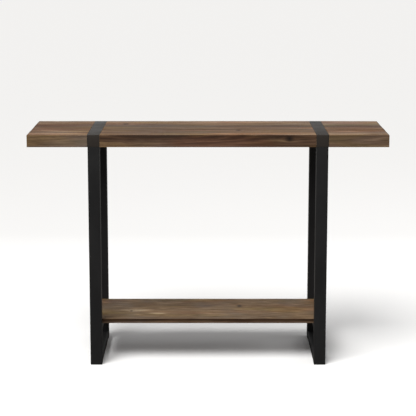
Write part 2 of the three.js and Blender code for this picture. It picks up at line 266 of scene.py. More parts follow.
def make_strip(node, name, whole_low, whole_high, worn, seed, material):
    """A strip of edging: part of the whole board it edges, so it shares that board's grain and arrises."""
    low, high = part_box(node)
    points, quads = block(*(stations(low[k], high[k], 3 * MM) for k in range(3)))
    sink_grain(points, whole_low, whole_high, seed - 10)
    ease_board(points, whole_low, whole_high, worn, seed)
    long_axis = X if high.x - low.x > high.y - low.y else Y
    sides = own_sides(low, high)
    for end in (-1, 1):
        for sign in (-1, 1):
            ease(points, sides[long_axis, end], sides[1 - long_axis, sign], CUT_RADIUS)
    make_piece(name, points, quads, [], material, "wood", [node])


def make_shelf_board(material):
    """The shelf board between its edgings, with open grain."""
    low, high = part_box("shelf_board")
    xs, ys = stations(low.x, high.x, 5 * MM), stations(low.y, high.y, 2.6 * MM)
    points, quads = block(xs, ys, stations(low.z, high.z, 3 * MM))
    sink_grain(points, SHELF_LOW, SHELF_HIGH, SHELF_SEED - 10)
    ease_board(points, SHELF_LOW, SHELF_HIGH, SHELF_WORN_RADIUS, SHELF_SEED)
    make_piece("low_shelf", points, quads, [], material, "wood", ["shelf_board"])


# ------------------------------------------------------------ steel and plastic pieces
def rounded_loop(half_a, half_b, corner, steps=6):
    """Points round a rectangle whose four corners are quarter circles, anticlockwise."""
    corner = min(corner, 0.95 * half_a, 0.95 * half_b)
    quarter = np.linspace(0, np.pi / 2, steps + 1)
    loops = []
    for turn, (sa, sb) in enumerate(((1, 1), (-1, 1), (-1, -1), (1, -1))):
        angle = quarter + turn * np.pi / 2
        a = sa * (half_a - corner) + corner * np.cos(angle)
        b = sb * (half_b - corner) + corner * np.sin(angle)
        loops.append(np.stack([a, b], axis=-1))
    return np.concatenate(loops)


def place(loop, along, centre, axis):
    """Stands a flat loop across an axis: its two coordinates on the other two axes, the third at along."""
    points = np.empty((len(loop), 3))
    a, b = (axis + 1) % 3, (axis + 2) % 3
    points[:, a], points[:, b], points[:, axis] = centre[a] + loop[:, 0], centre[b] + loop[:, 1], along
    return points


def make_tube(node, name, axis, material):
    """A hollow tube: a rounded rectangle carried along a profile, up its outside and down its inside."""
    low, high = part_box(node)
    centre, half = (low + high) / 2, (high - low) / 2
    a, b = (axis + 1) % 3, (axis + 2) % 3
    bottom, top = low[axis], high[axis]
    inner_edge = TUBE_WALL - SAWN_EDGE
    outside = [(0, bottom + SAWN_EDGE), (0, top - SAWN_EDGE), (SAWN_EDGE, top)]
    inside = [(inner_edge, top), (TUBE_WALL, top - SAWN_EDGE), (TUBE_WALL, bottom + SAWN_EDGE)]
    profile = outside + inside + [(inner_edge, bottom), (SAWN_EDGE, bottom)]
    rings = [
        place(rounded_loop(half[a] - inset, half[b] - inset, TUBE_CORNER - 0.8 * inset), along, centre, axis)
        for inset, along in profile
    ]
    quads = grid_faces(len(rings), len(rings[0]), True, True)
    make_piece(name, np.concatenate(rings), quads, [], material, "black_steel", [node])


def make_flat_bar(node, name, material):
    """A solid flat bar: a rounded rectangle carried from front to back, drawn in a little at both ends."""
    low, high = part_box(node)
    centre, half = (low + high) / 2, (high - low) / 2
    ends = [(SAWN_EDGE, low.y), (0, low.y + SAWN_EDGE), (0, high.y - SAWN_EDGE), (SAWN_EDGE, high.y)]
    rings = [
        place(rounded_loop(half.z - inset, half.x - inset, FLAT_BAR_CORNER - 0.5 * inset), along, centre, Y)
        for inset, along in ends
    ]
    make_piece(name, *loft(rings), material, "black_steel", [node])


def strap_path(low, high):
    """The middle line of the strap's thickness: a lip, up the front, over the top, down the back and a lip,
    with a quarter circle at each of its four bends."""
    half = STRAP_THICKNESS / 2
    corners = np.array([
        (low.y + STRAP_LIP, low.z + half), (low.y + half, low.z + half), (low.y + half, high.z - half),
        (high.y - half, high.z - half), (high.y - half, low.z + half), (high.y - STRAP_LIP, low.z + half),
    ])
    path = [corners[:1]]
    for before, here, after in zip(corners[:-2], corners[1:-1], corners[2:]):
        towards = (before - here) / np.linalg.norm(before - here)
        away = (after - here) / np.linalg.norm(after - here)
        angle = np.linspace(0, np.pi / 2, 7)[:, None]
        centre = here + STRAP_BEND * (towards + away)
        path.append(centre - STRAP_BEND * (away * np.cos(angle) + towards * np.sin(angle)))
    path.append(corners[-1:])
    return np.concatenate(path)


def make_strap(node, name, material):
    """The folded strap: a flat section with rounded edges carried along the middle line of its thickness."""
    low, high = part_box(node)
    path = strap_path(low, high)
    slope = np.gradient(path, axis=0)
    slope /= np.linalg.norm(slope, axis=1)[:, None]
    normal = np.stack([-slope[:, 1], slope[:, 0]], axis=-1)
    section = rounded_loop((high.x - low.x) / 2, STRAP_THICKNESS / 2, STRAP_EDGE, 4)
    yz = path[:, None, :] + section[None, :, 1:2] * normal[:, None, :]
    yz = np.clip(yz, (low.y, low.z), (high.y, high.z))
    x = np.broadcast_to((low.x + high.x) / 2 + section[None, :, 0:1], yz.shape[:2] + (1,))
    make_piece(name, *loft(np.concatenate([x, yz], axis=-1)), material, "black_steel", [node])


def make_foot(node, name, material):
    """A foot plug: a flange with a dished underside, and a hollow body with a softened mouth in the tube. It
    is a rounded square, drawn in by each inset of a profile at each of its heights."""
    low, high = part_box(node)
    centre, half = (low + high) / 2, (high.x - low.x) / 2
    top, inner = high.z - low.z, FOOT_GAP + FOOT_WALL
    dish = [(12 * MM, 0.6 * MM), (6 * MM, 0.6 * MM), (5.2 * MM, 0.5 * MM), (4.6 * MM, 0.1 * MM)]
    edge = [(4.2 * MM, 0), (1.0 * MM, 0), (0.5 * MM, 0.15 * MM), (0.15 * MM, 0.45 * MM), (0, 0.9 * MM)]
    shoulder = [(0, FOOT_FLANGE - 0.5 * MM), (0.2 * MM, FOOT_FLANGE - 0.15 * MM), (0.6 * MM, FOOT_FLANGE)]
    body = [(FOOT_GAP, FOOT_FLANGE), (FOOT_GAP, top - 1 * MM), (FOOT_GAP + 0.5 * MM, top)]
    mouth = [(inner - 0.3 * MM, top), (inner, top - 0.4 * MM), (inner, FOOT_FLANGE)]
    rings = [
        place(rounded_loop(half - inset, half - inset, TUBE_CORNER - 0.5 * inset, 5), low.z + up, centre, Z)
        for inset, up in dish + edge + shoulder + body + mouth
    ]
    make_piece(name, *loft(rings), material, "black_plastic", [node])


class Fastener(NamedTuple):
    """A bolt or screw: shank, head and key are radii, crown is how far the head is domed, key the recess."""

    shank: float
    pitch: float
    head: float
    head_height: float
    crown: float
    key: float
    key_depth: float
    key_shape: str


BUTTON_BOLT = Fastener(3 * MM, 1 * MM, 6 * MM, 3.5 * MM, 2.4 * MM, 2.3 * MM, 2 * MM, "hexagon")
PAN_SCREW = Fastener(2.2 * MM, 1.8 * MM, 4.5 * MM, 2.5 * MM, 1.6 * MM, 2.4 * MM, 1.4 * MM, "cross")
WAFER_SCREW = Fastener(1.75 * MM, 1.5 * MM, 4 * MM, 1.8 * MM, 1.2 * MM, 2 * MM, 1.1 * MM, "cross")


def outline(shape, angle):
    """How far a recess or head reaches at each angle, as a share of its radius."""
    if shape == "hexagon":
        return math.cos(math.pi / 6) / np.cos((angle + np.pi / 6) % (np.pi / 3) - np.pi / 6)
    if shape == "cross":
        return 0.42 + 0.58 * np.abs(np.cos(2 * angle)) ** 4
    return np.ones_like(angle)


def head_rings(kind, face, angle):
    """The heights of a head's rings and their radii at each angle: the floor and wall of its recess, its
    crown, which is a quarter of an ellipse, and its edge."""
    floor, seat = face + kind.key_depth, face + kind.head_height
    rim = max(kind.key * 1.25, 0.45 * kind.head)
    recess = [(0.02 * kind.key, floor), (0.9 * kind.key, floor)]
    recess += [(kind.key, face + 0.1 * MM), (kind.key * 1.06, face)]
    crown = [(rim, face)]
    for t in np.linspace(0, 1, 6)[1:]:
        turn = t * math.pi / 2
        crown.append((rim + (kind.head - rim) * math.sin(turn), face + kind.crown * (1 - math.cos(turn))))
    edge = [(kind.head, seat - 0.15 * MM), (kind.head - 0.15 * MM, seat), (kind.shank, seat)]
    shapes = [kind.key_shape] * len(recess) + ["round"] * len(crown + edge)
    profile = recess + crown + edge
    radius = np.array([r * outline(shape, angle) for shape, (r, _) in zip(shapes, profile)])
    return np.array([z for _, z in profile]), radius


def thread_rings(kind, seat, end, angle):
    """The heights of a threaded shank's rings and their radii at each angle: the shank's radius less a cosine
    of the height in pitches minus the turn, drawn in to a blunt tip."""
    along = np.arange(seat + kind.pitch, end, kind.pitch / 5)
    taper = np.clip((end - along) / (kind.shank * 0.8), 0, 1)[:, None]
    wave = 0.5 - 0.5 * np.cos(2 * np.pi * along[:, None] / kind.pitch - angle)
    threaded = kind.shank * (0.55 + 0.45 * taper) - 0.16 * kind.shank * wave * taper**0.5
    tip = np.full((2, len(angle)), kind.shank * 0.5) * [[1], [0.05]]
    return np.append(along, [end, end]), np.concatenate([threaded, tip])


def make_fastener(node, name, kind, material):
    """A bolt or screw that points up: the rings of its head, then those of its threaded shank."""
    low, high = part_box(node)
    centre = (low + high) / 2
    angle = np.linspace(0, 2 * np.pi, 36, endpoint=False)
    head_z, head_radius = head_rings(kind, low.z, angle)
    thread_z, thread_radius = thread_rings(kind, low.z + kind.head_height, high.z, angle)
    radius = np.concatenate([head_radius, thread_radius])
    z = np.broadcast_to(np.concatenate([head_z, thread_z])[:, None], radius.shape)
    rings = np.stack([centre.x + radius * np.cos(angle), centre.y + radius * np.sin(angle), z], axis=-1)
    make_piece(name, *loft(rings), material, "zinc", [node])


def weld_bead(corner, reach, out_y, out_z):
    """A bead along an inner corner, out_y and out_z the signs of the way out of it: a circle whose size is
    rippled by a sine and domed at both ends."""
    s = np.linspace(-1, 1, 90)[:, None]
    turn = np.linspace(0, 2 * np.pi, 14, endpoint=False)
    ripple = 0.86 + 0.14 * np.sin(2 * np.pi * s * reach / WELD_RIPPLE)
    size = WELD_LEG * np.sqrt(np.clip(1 - s**8, 0.02, 1)) * ripple
    x, y, z = corner
    y = y + out_y * size * (0.1 + 0.42 * (1 + np.cos(turn)))
    z = z + out_z * size * (-0.02 + 0.42 * (1 + np.sin(turn)))
    points, quads, caps = loft(np.stack([np.broadcast_to(x + s * reach, y.shape), y, z], axis=-1))
    if signed_volume(points - points.mean(0), quads) < 0:
        quads, caps = quads[:, ::-1], [cap[::-1] for cap in caps]
    return points, quads, caps


def make_weld(name, bar, side, material):
    """The two weld beads of a bar, one at each upright: on its upper face if side is 1, lower if -1."""
    low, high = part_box(bar)
    reach = (high.x - low.x) / 2 - TUBE_CORNER
    face = (high if side > 0 else low).z
    points, quads, caps, start = [], [], [], 0
    for wall, out_y in ((low.y, 1), (high.y, -1)):
        bead, faces, ends = weld_bead(((low.x + high.x) / 2, wall, face), reach, out_y, side)
        points.append(bead)
        quads.append(faces + start)
        caps += [[corner + start for corner in cap] for cap in ends]
        start += len(bead)
    points, quads = np.concatenate(points), np.concatenate(quads)
    make_piece(name, points, quads, caps, material, "black_steel", [], sharp=60)


# ------------------------------------------------------------ materials
USUAL_BAND = 0.62  # how strongly the broad bands of a wood show
SAPWOOD_GAIN = (1.5, 1.75, 2.0)  # how much paler than the light tone sapwood is, and how much greyer
SAPWOOD_RISE, HEART_AND_SHADE_DROP = 0.5, 0.10  # in tone
SHADE_AND_STAIN_TINT = (0.34, 0.245, 0.155)  # what the painted shade and the dark end stain leave of each channel


class Finish:
    """A material under construction: its nodes are added one by one and wired as they are made."""

    def __init__(self, name, roughness, metallic=0.0, specular=0.5):
        self.material = bpy.data.materials.new(name)
        self.material.use_nodes = True
        self.tree = self.material.node_tree
        self.shader = self.tree.nodes["Principled BSDF"]
        self.shader.inputs["Roughness"].default_value = roughness
        self.shader.inputs["Metallic"].default_value = metallic
        self.shader.inputs["Specular IOR Level"].default_value = specular
        self.place = self.add("ShaderNodeTexCoord").outputs["Object"]

    def add(self, kind, inputs=None, **settings):
        """A new node: an input given as a socket is linked to it, and any other is set."""
        node = self.tree.nodes.new(kind)
        for key, value in settings.items():
            setattr(node, key, value)
        for key, value in (inputs or {}).items():
            if isinstance(value, bpy.types.NodeSocket):
                self.tree.links.new(value, node.inputs[key])
            else:
                node.inputs[key].default_value = value
        return node

    def math(self, operation, first, second=0.0):
        """One step of arithmetic on numbers."""
        return self.add("ShaderNodeMath", {0: first, 1: second}, operation=operation).outputs[0]

    def vector(self, operation, first, second):
        """One step of arithmetic on vectors."""
        return self.add("ShaderNodeVectorMath", {0: first, 1: second}, operation=operation).outputs[0]

    def total(self, *parts):
        """The sum of some values, each times its weight."""
        weighted = [self.math("MULTIPLY", value, weight) for value, weight in parts]
        whole = weighted[0]
        for part in weighted[1:]:
            whole = self.math("ADD", whole, part)
        return whole

    def noise(self, where, stretch, detail=3.0, roughness=0.5):
        """Noise whose features are 1/stretch long along each axis."""
        scaled = self.vector("MULTIPLY", where, stretch)
        inputs = {"Vector": scaled, "Scale": 1.0, "Detail": detail, "Roughness": roughness}
        return self.add("ShaderNodeTexNoise", inputs).outputs["Fac"]

    def ramp(self, value, *stops):
        """A straight ramp through (position, level) stops, where a level is a number or a colour."""
        node = self.add("ShaderNodeValToRGB", {"Fac": value})
        elements = node.color_ramp.elements
        while len(elements) < len(stops):
            elements.new(0.5)
        for element, (position, level) in zip(elements, stops):
            element.position = position
            element.color = (level, level, level, 1) if isinstance(level, (int, float)) else (*level, 1)
        return node.outputs["Color"]

    def mix(self, share, first, second, blend="MIX"):
        """The first colour, with a share of the second blended in."""
        inputs = {"Factor": share, 6: first, 7: second}
        return self.add("ShaderNodeMix", inputs, data_type="RGBA", blend_type=blend).outputs[2]

    def range(self, value, low, high, to_low, to_high):
        """A smooth step from to_low to to_high while the value goes from low to high."""
        inputs = {"Value": value, "From Min": low, "From Max": high, "To Min": to_low, "To Max": to_high}
        return self.add("ShaderNodeMapRange", inputs, interpolation_type="SMOOTHSTEP").outputs["Result"]

    def bump(self, height, distance, strength):
        """Lets a height, at most distance deep, catch the light."""
        inputs = {"Height": height, "Distance": distance, "Strength": strength}
        bump = self.add("ShaderNodeBump", inputs)
        self.tree.links.new(bump.outputs["Normal"], self.shader.inputs["Normal"])

    def done(self, colour, roughness):
        """The finished material, with its patterns of colour and roughness."""
        self.tree.links.new(colour, self.shader.inputs["Base Color"])
        self.tree.links.new(roughness, self.shader.inputs["Roughness"])
        return self.material


def dark(colour, share):
    """A darker shade of a colour, as four channels."""
    return (*(share * c for c in colour), 1)


def tinted(finish, colour, patches, tint):
    """Shifts the colour towards a tint inside soft patches."""
    shift = finish.mix(patches, (1, 1, 1, 1), (*tint, 1))
    return finish.mix(1.0, colour, shift, "MULTIPLY")


def wood_place(finish, along, seed):
    """Object coordinates with the grain turned to run along X, moved to a stretch of wood of its own."""
    where = finish.place
    if along == "y":
        parts = finish.add("ShaderNodeSeparateXYZ", {0: where}).outputs
        where = finish.add("ShaderNodeCombineXYZ", {0: parts["Y"], 1: parts["X"], 2: parts["Z"]}).outputs[0]
    return finish.vector("ADD", where, wood_offset((0, 0, 0), seed))


def wood_offset(point, seed):
    """Where a point of a board lies in the endless wood that all boards are cut from."""
    return tuple(p + k * seed for p, k in zip(point, (1, 0.37, 0.53)))


def around_marks(finish, where, marks, reach, seed):
    """How deep each point lies in the nearest of some marks, from 0 to 1. A mark is an ellipsoid, given by
    its centre and half sizes, and fades out at reach times its size."""
    deepest = 0.0
    for centre, size in marks:
        away = finish.vector("SUBTRACT", where, wood_offset(centre, seed))
        scaled = finish.vector("MULTIPLY", away, tuple(1 / s for s in size))
        distance = finish.add("ShaderNodeVectorMath", {0: scaled}, operation="LENGTH").outputs["Value"]
        deepest = finish.math("MAXIMUM", deepest, finish.range(distance, 0, reach, 1, 0))
    return deepest


def round_knots(finish, where, knots, seed):
    """Bends the grain round each knot: a point near one reads the wood nearer to its middle line."""
    for centre, size in knots:
        away = finish.vector("SUBTRACT", where, wood_offset(centre, seed))
        near = around_marks(finish, where, [(centre, size)], 3.2, seed)
        across = finish.vector("MULTIPLY", away, (0, -0.85, -0.85))
        push = finish.add("ShaderNodeVectorMath", {0: across, "Scale": near}, operation="SCALE").outputs[0]
        where = finish.vector("ADD", where, push)
    return where


def wood_tone(finish, where, swayed, streaks, fibres, short, band):
    """How light the wood is: broad bands, rings, which are contour lines of a noise, streaks and fibres."""
    bands = finish.noise(where, (0.7 * short, 14, 14), 2, 0.45)
    figure = finish.noise(swayed, (1.1 * short, 17, 17), 2, 0.5)
    rings = finish.math("PINGPONG", finish.math("MULTIPLY", figure, 11.0), 0.5)
    tone = finish.total((bands, band), (streaks, 0.5), (rings, 0.26), (fibres, 0.16))
    return finish.math("SUBTRACT", tone, 0.5 * (band - USUAL_BAND))


def wood_colour(finish, where, tone, tones, short):
    """The colour of each tone, from dark to sapwood, washed grey in places, with red and golden patches."""
    light, middle, deep = tones
    sapwood = tuple(k * c for k, c in zip(SAPWOOD_GAIN, light))
    grey = (0.92 * middle[0], 0.80 * middle[0], 0.70 * middle[0], 1)
    colour = finish.ramp(tone, (0.52, deep), (0.71, middle), (0.83, light), (0.95, sapwood))
    wash = finish.range(finish.noise(where, (2.3 * short, 6, 6), 4, 0.6), 0.4, 0.75, 0, 0.5)
    colour = finish.mix(wash, colour, grey)
    reddish = finish.range(finish.noise(where, (3.1, 15, 15), 2), 0.50, 0.68, 0, 0.8)
    colour = tinted(finish, colour, reddish, (1.08, 0.88, 0.84))
    elsewhere = finish.vector("ADD", where, (3, 5, 7))
    golden = finish.range(finish.noise(elsewhere, (3.7, 17, 17), 2), 0.48, 0.66, 0, 0.95)
    return tinted(finish, colour, golden, (1.01, 1.02, 0.77))


def knotted(finish, where, colour, knots, deep, seed):
    """The colour with knots set into it, each dark with fine rings."""
    core = around_marks(finish, where, knots, 1.25, seed)
    rings = finish.math("PINGPONG", finish.math("MULTIPLY", core, 5.0), 0.5)
    knot = finish.mix(rings, dark(deep, 0.28), dark(deep, 0.75))
    return finish.mix(finish.math("MULTIPLY", core, 0.92), colour, knot)


def weathered_wood(name, tones, knots=(), pale=(), heart_and_shade=(), along="x", seed=0.0, shade=None, ends=None,
                   short=1.0, band=USUAL_BAND):
    """Grey-brown weathered wood. tones are its light, middle and dark colours, pale its streaks of sapwood
    and heart its darker heartwood and broad patches of painted shade. shade is (low z, high z, strength) of
    painted shade up to the upper arris, and ends (x, strength) of a dark stain along both ends. short is how
    many times shorter than usual the figure is, and band how strongly its broad bands show."""
    deep = tones[2]
    finish = Finish(name, 0.7, specular=0.2)
    where = round_knots(finish, wood_place(finish, along, seed), knots, seed)
    sway = finish.noise(where, (1.6 * short, 9, 9), 2)
    swayed = finish.vector("ADD", where, finish.vector("MULTIPLY", sway, (0, 0.02, 0.02)))
    streaks = finish.noise(swayed, (5 * short, 150, 150), 5, 0.65)
    fibres = finish.noise(swayed, (38, 900, 900), 3, 0.6)
    pores = finish.ramp(finish.noise(swayed, (16, 520, 520), 2, 0.5), (0.60, 0), (0.70, 1))

    tone = wood_tone(finish, where, swayed, streaks, fibres, short, band)
    if pale:
        sapwood = finish.math("MULTIPLY", around_marks(finish, where, pale, 1.6, seed), streaks)
        tone = finish.math("ADD", tone, finish.math("MULTIPLY", sapwood, SAPWOOD_RISE))
    # the heart marks lower the tone: heartwood streaks, and broad patches of painted shade
    if heart_and_shade:
        heart_and_shade_depth = around_marks(finish, where, heart_and_shade, 1.3, seed)
        tone = finish.math("SUBTRACT", tone, finish.math("MULTIPLY", heart_and_shade_depth, HEART_AND_SHADE_DROP))
    colour = wood_colour(finish, where, tone, tones, short)
    colour = finish.mix(finish.math("MULTIPLY", pores, 0.5), colour, dark(deep, 0.4))
    if knots:
        colour = knotted(finish, where, colour, knots, deep, seed)
    # painted shade: the edge is darkened up to its upper arris
    if shade:
        colour = tinted(finish, colour, painted_upper_shade(finish, where, *shade), SHADE_AND_STAIN_TINT)
    if ends:
        colour = tinted(finish, colour, end_stain(finish, *ends), SHADE_AND_STAIN_TINT)
    rough = finish.range(streaks, 0.3, 0.7, 0.76, 0.56)
    rough = finish.math("ADD", rough, finish.math("MULTIPLY", pores, 0.15))
    height = finish.math("ADD", streaks, finish.math("MULTIPLY", fibres, 0.6))
    finish.bump(finish.math("SUBTRACT", height, pores), 0.35 * MM, 0.7)
    return finish.done(colour, rough)


def painted_upper_shade(finish, where, low, high, strength):
    """Painted shade on an edge, dark up to its upper arris, whose lower boundary wanders and frays."""
    z = finish.add("ShaderNodeSeparateXYZ", {0: finish.place}).outputs["Z"]
    wander = finish.math("SUBTRACT", finish.noise(where, (7, 4, 4), 2), 0.5)
    ragged = finish.math("SUBTRACT", finish.noise(where, (30, 90, 90), 3, 0.6), 0.5)
    z = finish.math("ADD", z, finish.math("MULTIPLY", wander, 1.5 * (high - low)))
    z = finish.math("ADD", z, finish.math("MULTIPLY", ragged, 0.5 * (high - low)))
    return finish.range(z, low, high, 0, strength)


def end_stain(finish, reach, strength):
    """A dark line along both ends of a board whose ends lie at plus and minus reach."""
    x = finish.math("ABSOLUTE", finish.add("ShaderNodeSeparateXYZ", {0: finish.place}).outputs["X"])
    return finish.range(x, reach - 4.5 * MM, reach - 2.5 * MM, 0, strength)


def black_powder_coat(name, deep, faded, specular):
    """Satin black powder coat: fine orange peel, faint cloudiness, specks of dust and a few rubbed scuffs."""
    finish = Finish(name, 0.45, specular=specular)
    peel = finish.noise(finish.place, (900, 900, 900), 3, 0.55)
    cloud = finish.noise(finish.place, (9, 9, 5), 4, 0.6)
    specks = finish.ramp(finish.noise(finish.place, (2600, 2600, 2600), 1), (0.66, 0), (0.74, 1))
    scuff = finish.ramp(finish.noise(finish.place, (60, 60, 14), 6, 0.75), (0.62, 0), (0.78, 1))
    colour = finish.ramp(cloud, (0.35, deep), (0.7, faded))
    colour = finish.mix(finish.math("MULTIPLY", specks, 0.3), colour, (0.06, 0.058, 0.055, 1))
    colour = finish.mix(finish.math("MULTIPLY", scuff, 0.35), colour, (0.040, 0.038, 0.036, 1))
    rough = finish.range(cloud, 0.3, 0.7, 0.42, 0.54)
    rough = finish.math("ADD", rough, finish.math("MULTIPLY", scuff, -0.08))
    finish.bump(peel, 0.08 * MM, 0.5)
    return finish.done(colour, rough)


def black_plastic(name):
    """Moulded black plastic with a fine spark-eroded texture and scuffs."""
    finish = Finish(name, 0.6, specular=0.4)
    texture = finish.noise(finish.place, (1500, 1500, 1500), 2, 0.6)
    scuff = finish.noise(finish.place, (120, 120, 120), 5, 0.7)
    colour = finish.ramp(scuff, (0.4, (0.012, 0.012, 0.012)), (0.75, (0.032, 0.031, 0.030)))
    finish.bump(texture, 0.06 * MM, 0.6)
    return finish.done(colour, finish.range(scuff, 0.3, 0.7, 0.52, 0.68))


def plated_metal(name, deep, bright):
    """Plated or turned metal: a colour that drifts, fine machining rings and dulled patches."""
    finish = Finish(name, 0.35, metallic=1.0)
    drift = finish.noise(finish.place, (180, 180, 180), 4, 0.6)
    turning = finish.noise(finish.place, (300, 300, 4000), 2, 0.5)
    finish.bump(turning, 0.03 * MM, 0.5)
    rough = finish.range(drift, 0.3, 0.75, 0.26, 0.5)
    return finish.done(finish.ramp(drift, (0.35, deep), (0.7, bright)), rough)


def chipboard(name):
    """Bare chipboard: pressed chips of different browns, with dark gaps between them."""
    finish = Finish(name, 0.9, specular=0.2)
    scaled = finish.vector("MULTIPLY", finish.place, (240, 330, 520))
    chips = finish.add("ShaderNodeTexVoronoi", {"Vector": scaled, "Scale": 1.0, "Randomness": 1.0})
    shade = finish.add("ShaderNodeSeparateColor", {0: chips.outputs["Color"]}).outputs["Red"]
    browns = (0.26, 0.17, 0.09), (0.46, 0.34, 0.20), (0.62, 0.50, 0.33)
    colour = finish.ramp(shade, *zip((0.0, 0.55, 1.0), browns))
    gaps = finish.range(chips.outputs["Distance"], 0.45, 0.8, 0, 0.7)
    colour = finish.mix(gaps, colour, (0.10, 0.065, 0.035, 1))
    finish.bump(finish.math("SUBTRACT", shade, gaps), 0.4 * MM, 0.6)
    return finish.done(colour, finish.range(shade, 0, 1, 0.82, 0.95))


def backing_board(name):
    """The underside of the top: dark brown backing paper with a faint printed grain and rubbed patches."""
    finish = Finish(name, 0.65, specular=0.3)
    fibre = finish.noise(finish.place, (12, 400, 400), 4, 0.6)
    patch = finish.noise(finish.place, (5, 7, 7), 4, 0.6)
    tone = finish.total((fibre, 0.6), (patch, 0.4))
    colour = finish.ramp(tone, (0.38, (0.150, 0.103, 0.066)), (0.66, (0.240, 0.172, 0.115)))
    finish.bump(fibre, 0.1 * MM, 0.5)
    return finish.done(colour, finish.range(patch, 0.3, 0.7, 0.55, 0.75))


def marks_at(height, *marks):
    """Marks in a board at one height, each from its place along and across and its half sizes along, across
    and up."""
    return [((along, across, height), half_sizes) for along, across, *half_sizes in marks]


# light, middle and dark colour of each wood; the edging tones are darker partly as painted shade
TOP_TONES = (0.276, 0.167, 0.093), (0.152, 0.084, 0.044), (0.063, 0.031, 0.015)
EDGE_SHADED_TONES = (0.168, 0.103, 0.064), (0.091, 0.050, 0.029), (0.038, 0.019, 0.010)
OUTER_SHADED_TONES = (0.248, 0.163, 0.105), (0.140, 0.087, 0.055), (0.066, 0.038, 0.022)
SHELF_EDGE_SHADED_TONES = (0.178, 0.114, 0.068), (0.100, 0.061, 0.035), (0.048, 0.028, 0.015)
SHELF_TONES = (0.238, 0.156, 0.085), (0.137, 0.084, 0.042), (0.062, 0.035, 0.017)
TOP_KNOTS = marks_at(TOP_HIGH.z, (-0.28, 0.09, 0.016, 0.010, 0.010), (0.10, -0.06, 0.012, 0.008, 0.008))
TOP_PALE = marks_at(
    TOP_HIGH.z,
    (-0.46, -0.082, 0.100, 0.006, 0.008), (-0.50, -0.122, 0.090, 0.009, 0.008),
    (-0.52, -0.060, 0.070, 0.005, 0.008), (-0.45, -0.143, 0.080, 0.004, 0.008),
    (0.04, -0.130, 0.042, 0.004, 0.006), (0.455, -0.090, 0.050, 0.004, 0.008),
)
# darker heartwood streaks, and two broad patches over the right end that are painted shade
TOP_HEART_AND_SHADE = marks_at(
    TOP_HIGH.z,
    (0.54, -0.140, 0.05, 0.040, 0.03), (0.50, 0.060, 0.11, 0.090, 0.03), (-0.22, 0.036, 0.11, 0.007, 0.01),
    (0.16, 0.100, 0.14, 0.012, 0.01), (-0.06, 0.140, 0.09, 0.008, 0.01), (0.26, -0.020, 0.06, 0.006, 0.01),
)
EDGE_KNOTS = marks_at(TOP_HIGH.z - 13 * MM, (0.262, TOP_LOW.y, 0.018, 0.007, 0.0065))
SHELF_KNOTS = marks_at(
    SHELF_HIGH.z, (0.108, 0.032, 0.013, 0.010, 0.010), (-0.26, -0.030, 0.006, 0.005, 0.005))
SHELF_PALE = marks_at(SHELF_HIGH.z, (-0.25, -0.02, 0.05, 0.012, 0.012), (-0.17, -0.06, 0.03, 0.007, 0.007))
# where the painted shade of each edge fades in and where it is full, and its strength
EDGE_PAINTED_SHADE = TOP_HIGH.z - 24 * MM, TOP_HIGH.z - 8 * MM, 0.8
OUTER_PAINTED_SHADE = TOP_HIGH.z - 14 * MM, TOP_HIGH.z - 2 * MM, 0.35
SHELF_PAINTED_SHADE = SHELF_HIGH.z - 11 * MM, SHELF_HIGH.z - 5.5 * MM, 1.0
END_STAIN = TOP_HIGH.x, 0.8
# which stretch of wood each board is cut from
TOP_WOOD, OUTER_WOOD, END_WOOD, SHELF_WOOD, SHELF_END_WOOD = 1.3, 2.9, 4.1, 7.9, 9.2

MATERIALS = {
    "top": weathered_wood(
        "weathered_top", TOP_TONES, TOP_KNOTS, TOP_PALE, TOP_HEART_AND_SHADE, seed=TOP_WOOD, ends=END_STAIN, band=0.72),
    "edge": weathered_wood("weathered_edge_painted_shade", EDGE_SHADED_TONES, EDGE_KNOTS, seed=TOP_WOOD, shade=EDGE_PAINTED_SHADE),
    "outer_edge": weathered_wood("weathered_outer_edge_painted_shade", OUTER_SHADED_TONES, seed=OUTER_WOOD, shade=OUTER_PAINTED_SHADE),
    "end": weathered_wood("weathered_end_painted_shade", OUTER_SHADED_TONES, along="y", seed=END_WOOD, shade=OUTER_PAINTED_SHADE),
    "shelf": weathered_wood(
        "weathered_shelf", SHELF_TONES, SHELF_KNOTS, SHELF_PALE, seed=SHELF_WOOD, short=2.2, band=0.35),
    "shelf_edge": weathered_wood(
        "weathered_shelf_edge_painted_shade", SHELF_EDGE_SHADED_TONES, seed=SHELF_WOOD, shade=SHELF_PAINTED_SHADE),
    "shelf_end": weathered_wood(
        "weathered_shelf_end_painted_shade", SHELF_EDGE_SHADED_TONES, along="y", seed=SHELF_END_WOOD, shade=SHELF_PAINTED_SHADE),
    "steel": black_powder_coat("black_powder_coat", (0.0104, 0.0104, 0.0107), (0.0158, 0.0157, 0.0160), 0.17),
    # the strap's coat is the legs' black made lighter and warmer, as a painted reflection of the wood
    "strap": black_powder_coat("strap_powder_coat", (0.0212, 0.0176, 0.0148), (0.0280, 0.0233, 0.0196), 0.11),
    "plastic": black_plastic("moulded_black_plastic"),
    "zinc": plated_metal("zinc_plate", (0.42, 0.42, 0.40), (0.62, 0.63, 0.64)),
    "brass": plated_metal("turned_brass", (0.52, 0.36, 0.14), (0.74, 0.55, 0.25)),
    "chipboard": chipboard("bare_chipboard"),
    "backing": backing_board("backing_paper"),
}


# ------------------------------------------------------------ the table
def make_wood():
    """The top and the shelf: each a board with a strip along each of its edges."""
    top = TOP_LOW, TOP_HIGH, WORN_RADIUS, TOP_SEED
    shelf = SHELF_LOW, SHELF_HIGH, SHELF_WORN_RADIUS, SHELF_SEED
    make_top_board(MATERIALS["top"])
    for end in FRONT_BACK:
        for part in ("left", "center", "right"):
            finish = "edge" if part == "center" else "outer_edge"
            make_strip(f"{end}_edging_{part}", f"{end}_strip_{part}", *top, MATERIALS[finish])
        make_strip(f"shelf_{end}_edging", f"shelf_{end}_strip", *shelf, MATERIALS["shelf_edge"])
    for side in LEFT_RIGHT:
        make_strip(f"{side}_end_edging", f"{side}_end_strip", *top, MATERIALS["end"])
        make_strip(f"shelf_{side}_edging", f"shelf_{side}_strip", *shelf, MATERIALS["shelf_end"])
    make_shelf_board(MATERIALS["shelf"])


